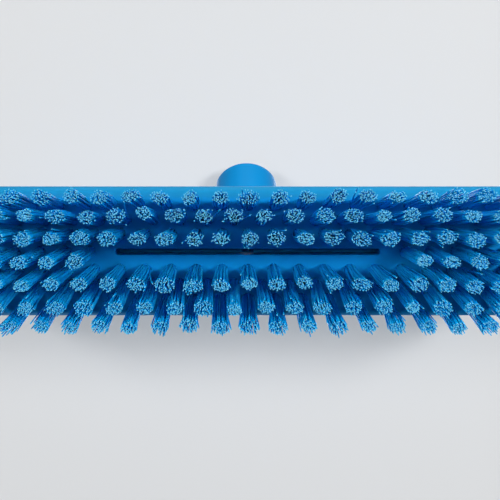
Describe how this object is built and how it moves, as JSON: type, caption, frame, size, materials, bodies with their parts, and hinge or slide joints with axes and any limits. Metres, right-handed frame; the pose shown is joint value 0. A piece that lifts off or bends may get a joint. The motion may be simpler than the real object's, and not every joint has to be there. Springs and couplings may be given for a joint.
{
  "type": "water-fed scrub brush head",
  "caption": "Head of a water-fed floor scrub brush: a rectangular block with a tilted round handle socket, a narrow water slot in its face and leaning rows of bristle tufts.",
  "frame": {"origin": "middle of the overall length and width, on the plane of the bristle tips", "axes": "+X along the block, +Z from the bristle tips up through the block, -Y the side to which the handle neck leans"},
  "size_m": [0.27, 0.0726, 0.1014],
  "materials": {
    "block_plastic": "satin moulded polypropylene, one colour all through",
    "bristle_filament": "smooth drawn polyester filament, paler where its ends are cut"
  },
  "bodies": {
    "root": {"block": "block_plastic", "tuft_row_1_left": "bristle_filament", "tuft_row_1_middle": "bristle_filament", "tuft_row_1_right": "bristle_filament", "tuft_row_2_left": "bristle_filament", "tuft_row_2_middle": "bristle_filament", "tuft_row_2_right": "bristle_filament", "tuft_row_3_left": "bristle_filament", "tuft_row_3_middle": "bristle_filament", "tuft_row_3_right": "bristle_filament", "tuft_row_4_left": "bristle_filament", "tuft_row_4_right": "bristle_filament", "tuft_row_5_left": "bristle_filament", "tuft_row_5_middle": "bristle_filament", "tuft_row_5_right": "bristle_filament", "tuft_row_6_left": "bristle_filament", "tuft_row_6_middle": "bristle_filament", "tuft_row_6_right": "bristle_filament", "tuft_row_7_left": "bristle_filament", "tuft_row_7_middle": "bristle_filament", "tuft_row_7_right": "bristle_filament"}
  },
  "joints": []
}
